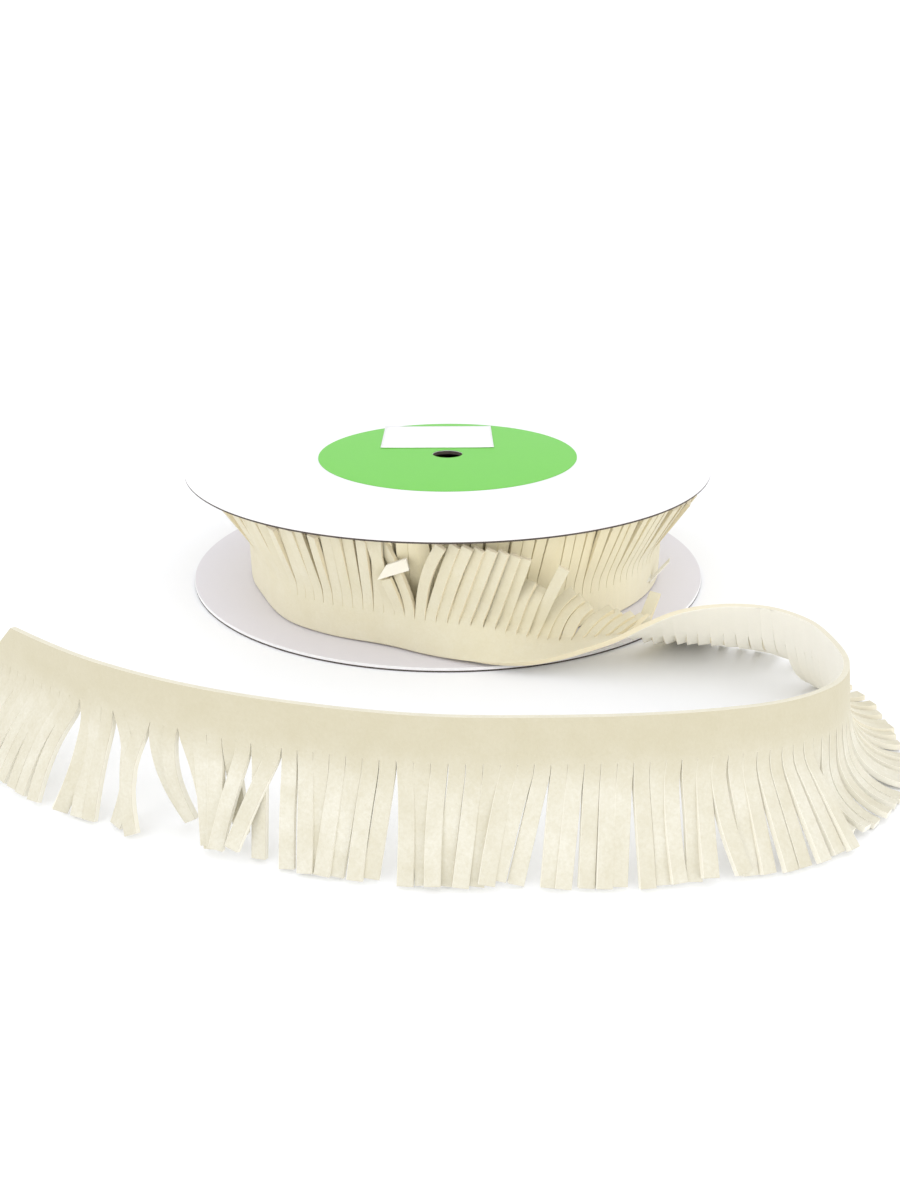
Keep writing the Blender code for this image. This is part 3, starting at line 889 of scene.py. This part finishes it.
def strand_directions(strand, shares):
    """At shares of a strand's length: which way it runs, its breadth and its face."""
    _, forward, heading_turn, _, _ = PATH.section(strand.along)
    upright, left = square_to(forward)
    bend = eased(np.minimum(shares / BEND_SHARE, 1.0))
    curled = np.maximum(shares - strand.curl_from, 0.0) / (1.0 - strand.curl_from)
    turns = np.radians(heading_turn + (strand.turn - heading_turn) * bend + strand.curl * curled)
    sides = strand.lean * np.minimum(shares / LEAN_SHARE, 1.0) + strand.side * shares
    sides = np.radians(sides + strand.bow * np.cos(math.pi * shares))
    down = np.outer(np.cos(turns), upright) + np.outer(np.sin(turns), left)
    onward = np.cos(sides)[:, None] * down + np.sin(sides)[:, None] * forward
    breadth = np.cos(sides)[:, None] * forward - np.sin(sides)[:, None] * down
    face = np.cross(breadth, onward)
    twists = np.radians(strand.twist) * shares
    breadth = np.cos(twists)[:, None] * breadth + np.sin(twists)[:, None] * face
    return onward, breadth, np.cross(breadth, onward)


def heading_point(along, width):
    """A point of the heading, whose cut end slants back towards the uncut edge."""
    near_end = clamped((along - PATH.length) / SLANT_REACH + 1.0)
    along -= END_SLANT * (1.0 - width / HEADING) * eased(near_end)
    place, forward, heading_turn, _, _ = PATH.section(along)
    upright, left = square_to(forward)
    angle = math.radians(heading_turn)
    return place + width * (math.cos(angle) * upright + math.sin(angle) * left)


def strand_rows(strand):
    """Rows of points across a strand, below its root."""
    middles = (np.arange(STRAND_STEPS) + 0.5) / STRAND_STEPS
    onward, _, _ = strand_directions(strand, middles)
    root = heading_point(strand.along, HEADING)
    centres = root + np.cumsum(onward, axis=0) * strand.length / STRAND_STEPS
    ends = (np.arange(STRAND_STEPS) + 1.0) / STRAND_STEPS
    _, breadth, _ = strand_directions(strand, ends)
    offsets = np.array(ACROSS_STRAND) * strand.half_width
    return centres[:, None, :] + offsets[None, :, None] * breadth[:, None, :]


def flare_at(height):
    """How far the wound fringe stands out from the heading at a height."""
    return FLARE_SLOPE * max(0.0, height - ROLL_BOTTOM - HEADING - FLARE_STARTS)


def stands_clear(strand):
    """Whether a strand stays above what it rests on and, in the half turn from where the
    trim leaves the roll, outside the wound fringe."""
    ends = (np.arange(STRAND_STEPS) + 1.0) / STRAND_STEPS
    _, breadths, faces = strand_directions(strand, ends)
    for row, breadth, face in zip(strand_rows(strand), breadths, faces):
        drop = SUEDE / 2 * abs(face[2]) + strand.half_width * abs(breadth[2])
        for point in (row[0], row[-1]):
            radius = math.hypot(point[0], point[1])
            floor_height = ROLL_BOTTOM if radius < FLANGE_RADIUS + FLANGE_MARGIN else FLOOR_CLEARANCE
            if row[1][2] - drop < floor_height:
                return False
            angle = (math.degrees(math.atan2(point[1], point[0])) - LEAVE_ANGLE) % 360.0
            if angle < 180.0 and radius < turn_radius(angle) + flare_at(point[2]) + LEAN_CLEARANCE:
                return False
    return True


def settle(strand, bends=False):
    """Bends a strand along the floor, or turns it back, until it clears what is below."""
    strand.curl_from = SETTLES_FROM
    while bends and strand.curl > LIES_FLAT and not stands_clear(strand):
        strand.curl -= CURL_STEP
    while strand.turn > WIDEST_FLARE and not stands_clear(strand):
        strand.turn -= TURN_STEP


# Strands


def flare_near(azimuth):
    """The wound strands' flare: less at the front, where the loose run presses on them."""
    off_front = abs((azimuth - FRONT_AZIMUTH + 180.0) % 360.0 - 180.0)
    return FRONT_FLARE + (SIDE_FLARE - FRONT_FLARE) * clamped((off_front - FRONT_HALF) / FLARE_FADE)


def place_by_hand(strand, row):
    """Gives a strand at the reel its row of REEL_STRANDS."""
    for column, value in zip(REEL_COLUMNS, row):
        setattr(strand, column, value)


def cut_place(cut):
    """How far along the loose run a cut is, from where the trim leaves the roll."""
    return STRAND_PITCH * (cut + np.interp(cut, *zip(*CUT_DRIFT)))


def loose_strands():
    """The loose run's strands: those at the reel and in front as listed, the rest by chance."""
    strands = []
    i = 0
    while cut_place(i + 1) < PATH.length:
        along = (cut_place(i) + cut_place(i + 1)) / 2
        half_width = (cut_place(i + 1) - cut_place(i) - KERF) / 2
        _, _, _, turn, side = PATH.section(along)
        strand = Strand(along, half_width, turn, side)
        strand.tone = random.uniform(0.0, 1.0)
        # The roll's painted warm light fades out over the loose run's first strands
        strand.painted_warm_light = clamped((PAINTED_WARM_GONE_FROM_STRAND - i) / (PAINTED_WARM_GONE_FROM_STRAND - PAINTED_WARM_UP_TO_STRAND))
        # The painted light on the heading fades out along the loose run
        fading_light = clamped((along - PAINTED_LIGHT_FADES_FROM) / (PAINTED_LIGHT_GONE_AT - PAINTED_LIGHT_FADES_FROM))
        strand.heading_painted_light = WOUND_HEADING_PAINTED_LIGHT * (1.0 - fading_light)
        if i in AT_REEL:
            place_by_hand(strand, AT_REEL[i])
        elif i in IN_FRONT:
            shift, bow, stand_back, longer = IN_FRONT[i]
            settle(strand, i in LOW_STRANDS)
            strand.lean = math.degrees(shift / STRAND_LENGTH / (1 - LEAN_SHARE / 2))
            strand.bow = math.degrees(bow * math.pi / STRAND_LENGTH)
            strand.length += longer
            strand.twist = TWISTED_STRANDS.get(i, either_way(FRONT_TWIST))
            strand.turn += math.degrees(stand_back / STRAND_LENGTH / (1 - BEND_SHARE / 2))
        else:
            strand.turn += either_way(VARIED_TURN)
            strand.twist = either_way(LOOSE_TWIST)
            strand.lean = either_way(LOOSE_LEAN)
            strand.length -= random.uniform(0.0, SHORTER_BY)
            settle(strand, i in LOW_STRANDS)
        strands.append(strand)
        i += 1
    return strands


def wound_strands(first_along, count, hidden, by_hand=False):
    """One turn's strands, leaning together in small bunches. The first ones, as many as
    hidden says, lie behind others and get the painted bounce light, a golden colour."""
    pitch = TURN_LENGTH / count
    strands = []
    left_in_bunch = 0
    for i in range(count):
        if left_in_bunch == 0:
            left_in_bunch = random.randint(SMALLEST_BUNCH, LARGEST_BUNCH + 1)
            bunch_flare = either_way(BUNCH_FLARE)
            bunch_side = either_way(BUNCH_SIDE)
        left_in_bunch -= 1
        along = first_along + (i + 0.5) * pitch
        azimuth = LEAVE_ANGLE + 360.0 * along / TURN_LENGTH
        strand = Strand(along, (pitch - KERF) / 2, flare_near(azimuth) + bunch_flare)
        strand.turn += either_way(VARIED_TURN)
        strand.side = bunch_side + either_way(VARIED_SIDE)
        strand.twist = either_way(WOUND_TWIST)
        strand.tone = random.uniform(0.0, 1.0)
        # Painted bounce light on the first strands, which lie behind the loose run, fading out
        strand.painted_bounce = clamped((hidden - i) / PAINTED_BOUNCE_FADE)
        if by_hand and i - count in AT_REEL:
            place_by_hand(strand, AT_REEL[i - count])
        strands.append(strand)
    return strands


def strand_points(strand):
    """A strand's points and its heading's, row by row from the uncut edge to the tip."""
    places = [strand.along + share * strand.half_width for share in ACROSS_STRAND]
    points = [heading_point(along, width) for width in HEADING_WIDTHS for along in places]
    return points + [point for row in strand_rows(strand) for point in row]


def strand_looks(strand):
    """The values that the suede's material reads, for each row of a strand's points."""
    own_tone = [0.0] * len(HEADING_WIDTHS)
    own_tone += [min(1.0, (i + 1) / TONE_ROWS) for i in range(STRAND_STEPS)]
    # Paleness: partly the strands' own colour, partly painted light; the heading's painted light lifts
    # every row
    pale_and_painted_light = list(HEADING_PALE_AND_LIT.values())
    pale_and_painted_light += [min(1.0, ROOT_PALE_AND_LIT + PALER_AND_LIGHTER_EACH_ROW * i) for i in range(STRAND_STEPS)]
    return {
        "pale_and_painted_light": [max(strand.heading_painted_light, value) for value in pale_and_painted_light],
        "tone": [EVEN_TONE + (strand.tone - EVEN_TONE) * share for share in own_tone],
        "painted_warm_light": [strand.painted_warm_light] * len(pale_and_painted_light),
        "painted_bounce": [strand.painted_bounce] * len(pale_and_painted_light),
    }


def trim_piece(name, strands, flaps=()):
    """A length of trim as a thin surface with its thickness and softened edges."""
    columns = len(ACROSS_STRAND)
    rows = len(HEADING_WIDTHS) + STRAND_STEPS
    points = []
    faces = []
    looks = {label: [] for label in FLAP_LOOKS}
    for k, strand in enumerate(strands):
        base = len(points)
        points += strand_points(strand)
        for label, values in strand_looks(strand).items():
            looks[label] += [value for value in values for _ in range(columns)]
        for r in range(rows - 1):
            for c in range(columns - 1):
                here = base + r * columns + c
                faces.append((here, here + 1, here + columns + 1, here + columns))
        if k + 1 < len(strands):
            after = base + rows * columns
            for r in range(len(HEADING_WIDTHS) - 1):
                here = base + r * columns + columns - 1
                there = after + r * columns
                faces.append((here, there, there + columns, here + columns))
    for corners in flaps:
        faces.append(tuple(range(len(points), len(points) + len(corners))))
        points += corners
        for label, value in FLAP_LOOKS.items():
            looks[label] += [value] * len(corners)
    piece = make_piece(name, points, faces, (SUEDE_FACE, SUEDE_BACK, SUEDE_CUT))
    hold_values(piece, looks)
    thicken(piece, SUEDE, back=1, rim=2)
    bevel = piece.modifiers.new("Soft edges", "BEVEL")
    bevel.width = EDGE_ROUNDING * MM
    bevel.segments = 1
    bevel.limit_method = "ANGLE"
    bevel.angle_limit = ROUNDED_FROM
    bevel.use_clamp_overlap = False
    piece.modifiers.new("Flat faces", "WEIGHTED_NORMAL")
    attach(piece, "root")
    return piece


def roll_heart():
    """The turns inside the two that show, as one wound body."""
    inner = CORE_RADIUS + ROLL_GAP
    heading_top = ROLL_BOTTOM + HEADING
    top = heading_top + STRAND_LENGTH * math.cos(math.radians(ROLL_FLARE)) - HEART_BELOW_TIPS
    points = []
    for i in range(ROUND_STEPS):
        angle = 360.0 * i / ROUND_STEPS
        outer = turn_radius(angle) - 2 * TURN_PITCH
        flare = math.radians(-flare_near(LEAVE_ANGLE + angle))
        flared = outer + math.tan(flare) * (top - heading_top)
        profile = (
            (inner, ROLL_BOTTOM),
            (outer, ROLL_BOTTOM),
            (outer, heading_top),
            (flared, top),
            (inner, top),
        )
        turn = math.radians(LEAVE_ANGLE + angle)
        points += [round_point(radius, height, turn) for radius, height in profile]
    piece = make_piece("trim_roll_heart", points, ring_faces(len(profile)), (SUEDE_FACE,))
    piece.data.set_sharp_from_angle(angle=ROLL_CREASE)
    # Painted light: the heart takes the pale colour, the roll's painted warm light and the painted bounce
    # light in full, so that the shade between the turns shows light and golden
    full = [1.0] * len(points)
    hold_values(piece, {"pale_and_painted_light": full, "painted_warm_light": full, "painted_bounce": full})
    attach(piece, "root")
    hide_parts("wound_roll")


def trim():
    """The outer turn and the loose run in one length, with one more turn behind it."""
    per_turn = round(TURN_LENGTH / STRAND_PITCH)
    outer = wound_strands(-TURN_LENGTH, per_turn, HIDDEN_STRANDS, by_hand=True)
    piece = trim_piece("trim_outer", outer + loose_strands(), (FOLDED_END, STRAY_STRAND, STRAY_TIP))
    combs = [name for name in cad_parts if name.startswith("loose_")]
    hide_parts("wound_fringe", *combs)
    # The inner turn takes the painted bounce light on all its strands
    trim_piece("trim_inner_turn", wound_strands(-2 * TURN_LENGTH, per_turn, 2 * per_turn))
    roll_heart()


# Surroundings


def floor():
    """A white sweep that curves up behind."""
    profile = [(FLOOR_NEAR, 0.0), (FLOOR_FAR, 0.0)]
    for i in range(1, SWEEP_STEPS + 1):
        angle = math.pi / 2 * i / SWEEP_STEPS
        profile.append((FLOOR_FAR + SWEEP_RADIUS * math.sin(angle), SWEEP_RADIUS * (1 - math.cos(angle))))
    profile.append((FLOOR_FAR + SWEEP_RADIUS, SWEEP_TOP))
    points = [(x, y, z) for y, z in profile for x in (-FLOOR_HALF_WIDTH, FLOOR_HALF_WIDTH)]
    faces = [(2 * i, 2 * i + 1, 2 * i + 3, 2 * i + 2) for i in range(len(profile) - 1)]
    mesh = bpy.data.meshes.new("floor")
    mesh.from_pydata(points, [], faces)
    mesh.shade_smooth()
    mat = bpy.data.materials.new("white_floor")
    mat.use_nodes = True
    shader = mat.node_tree.nodes["Principled BSDF"]
    shader.inputs["Base Color"].default_value = FLOOR_WHITE
    shader.inputs["Roughness"].default_value = 0.8
    shader.inputs["Specular IOR Level"].default_value = 0.1
    mesh.materials.append(mat)
    make_object("floor", mesh)


def light():
    """A bright surround, and a soft round lamp at either side of the front, aimed at the
    frame's origin."""
    world = bpy.data.worlds.new("studio")
    bpy.context.scene.world = world
    world.use_nodes = True
    surround = world.node_tree.nodes["Background"]
    surround.inputs["Color"].default_value = SURROUND_WHITE
    surround.inputs["Strength"].default_value = SURROUND_STRENGTH
    for name, place in LAMPS.items():
        lamp = bpy.data.lights.new(name, "AREA")
        lamp.shape = "DISK"
        lamp.size = LAMP_SIZE
        lamp.energy = LAMP_POWER
        obj = make_object(name, lamp)
        obj.location = place
        obj.rotation_euler = (-Vector(place)).to_track_quat("-Z", "Y").to_euler()
    bpy.context.scene.view_settings.view_transform = "Standard"


def camera():
    """The photo's camera, in front of the reel and a little above it."""
    data = bpy.data.cameras.new("camera")
    data.sensor_fit = "AUTO"
    data.sensor_width = SENSOR
    data.lens = FOCAL_PIXELS / PICTURE_HEIGHT * SENSOR
    data.clip_start = 0.01
    obj = make_object("camera", data)
    right = Vector((1.0, 0.0, 0.0))
    up = Vector((0.0, math.sin(CAMERA_PITCH), math.cos(CAMERA_PITCH)))
    rolled_right = math.cos(CAMERA_ROLL) * right + math.sin(CAMERA_ROLL) * up
    rolled_up = math.cos(CAMERA_ROLL) * up - math.sin(CAMERA_ROLL) * right
    back = rolled_right.cross(rolled_up)
    turn = Matrix((rolled_right, rolled_up, back)).transposed().to_4x4()
    turn.translation = Vector(CAMERA_PLACE) * MM + Vector(REEL_AXIS)
    obj.matrix_world = turn
    bpy.context.scene.camera = obj


reel()
trim()
floor()
light()
camera()
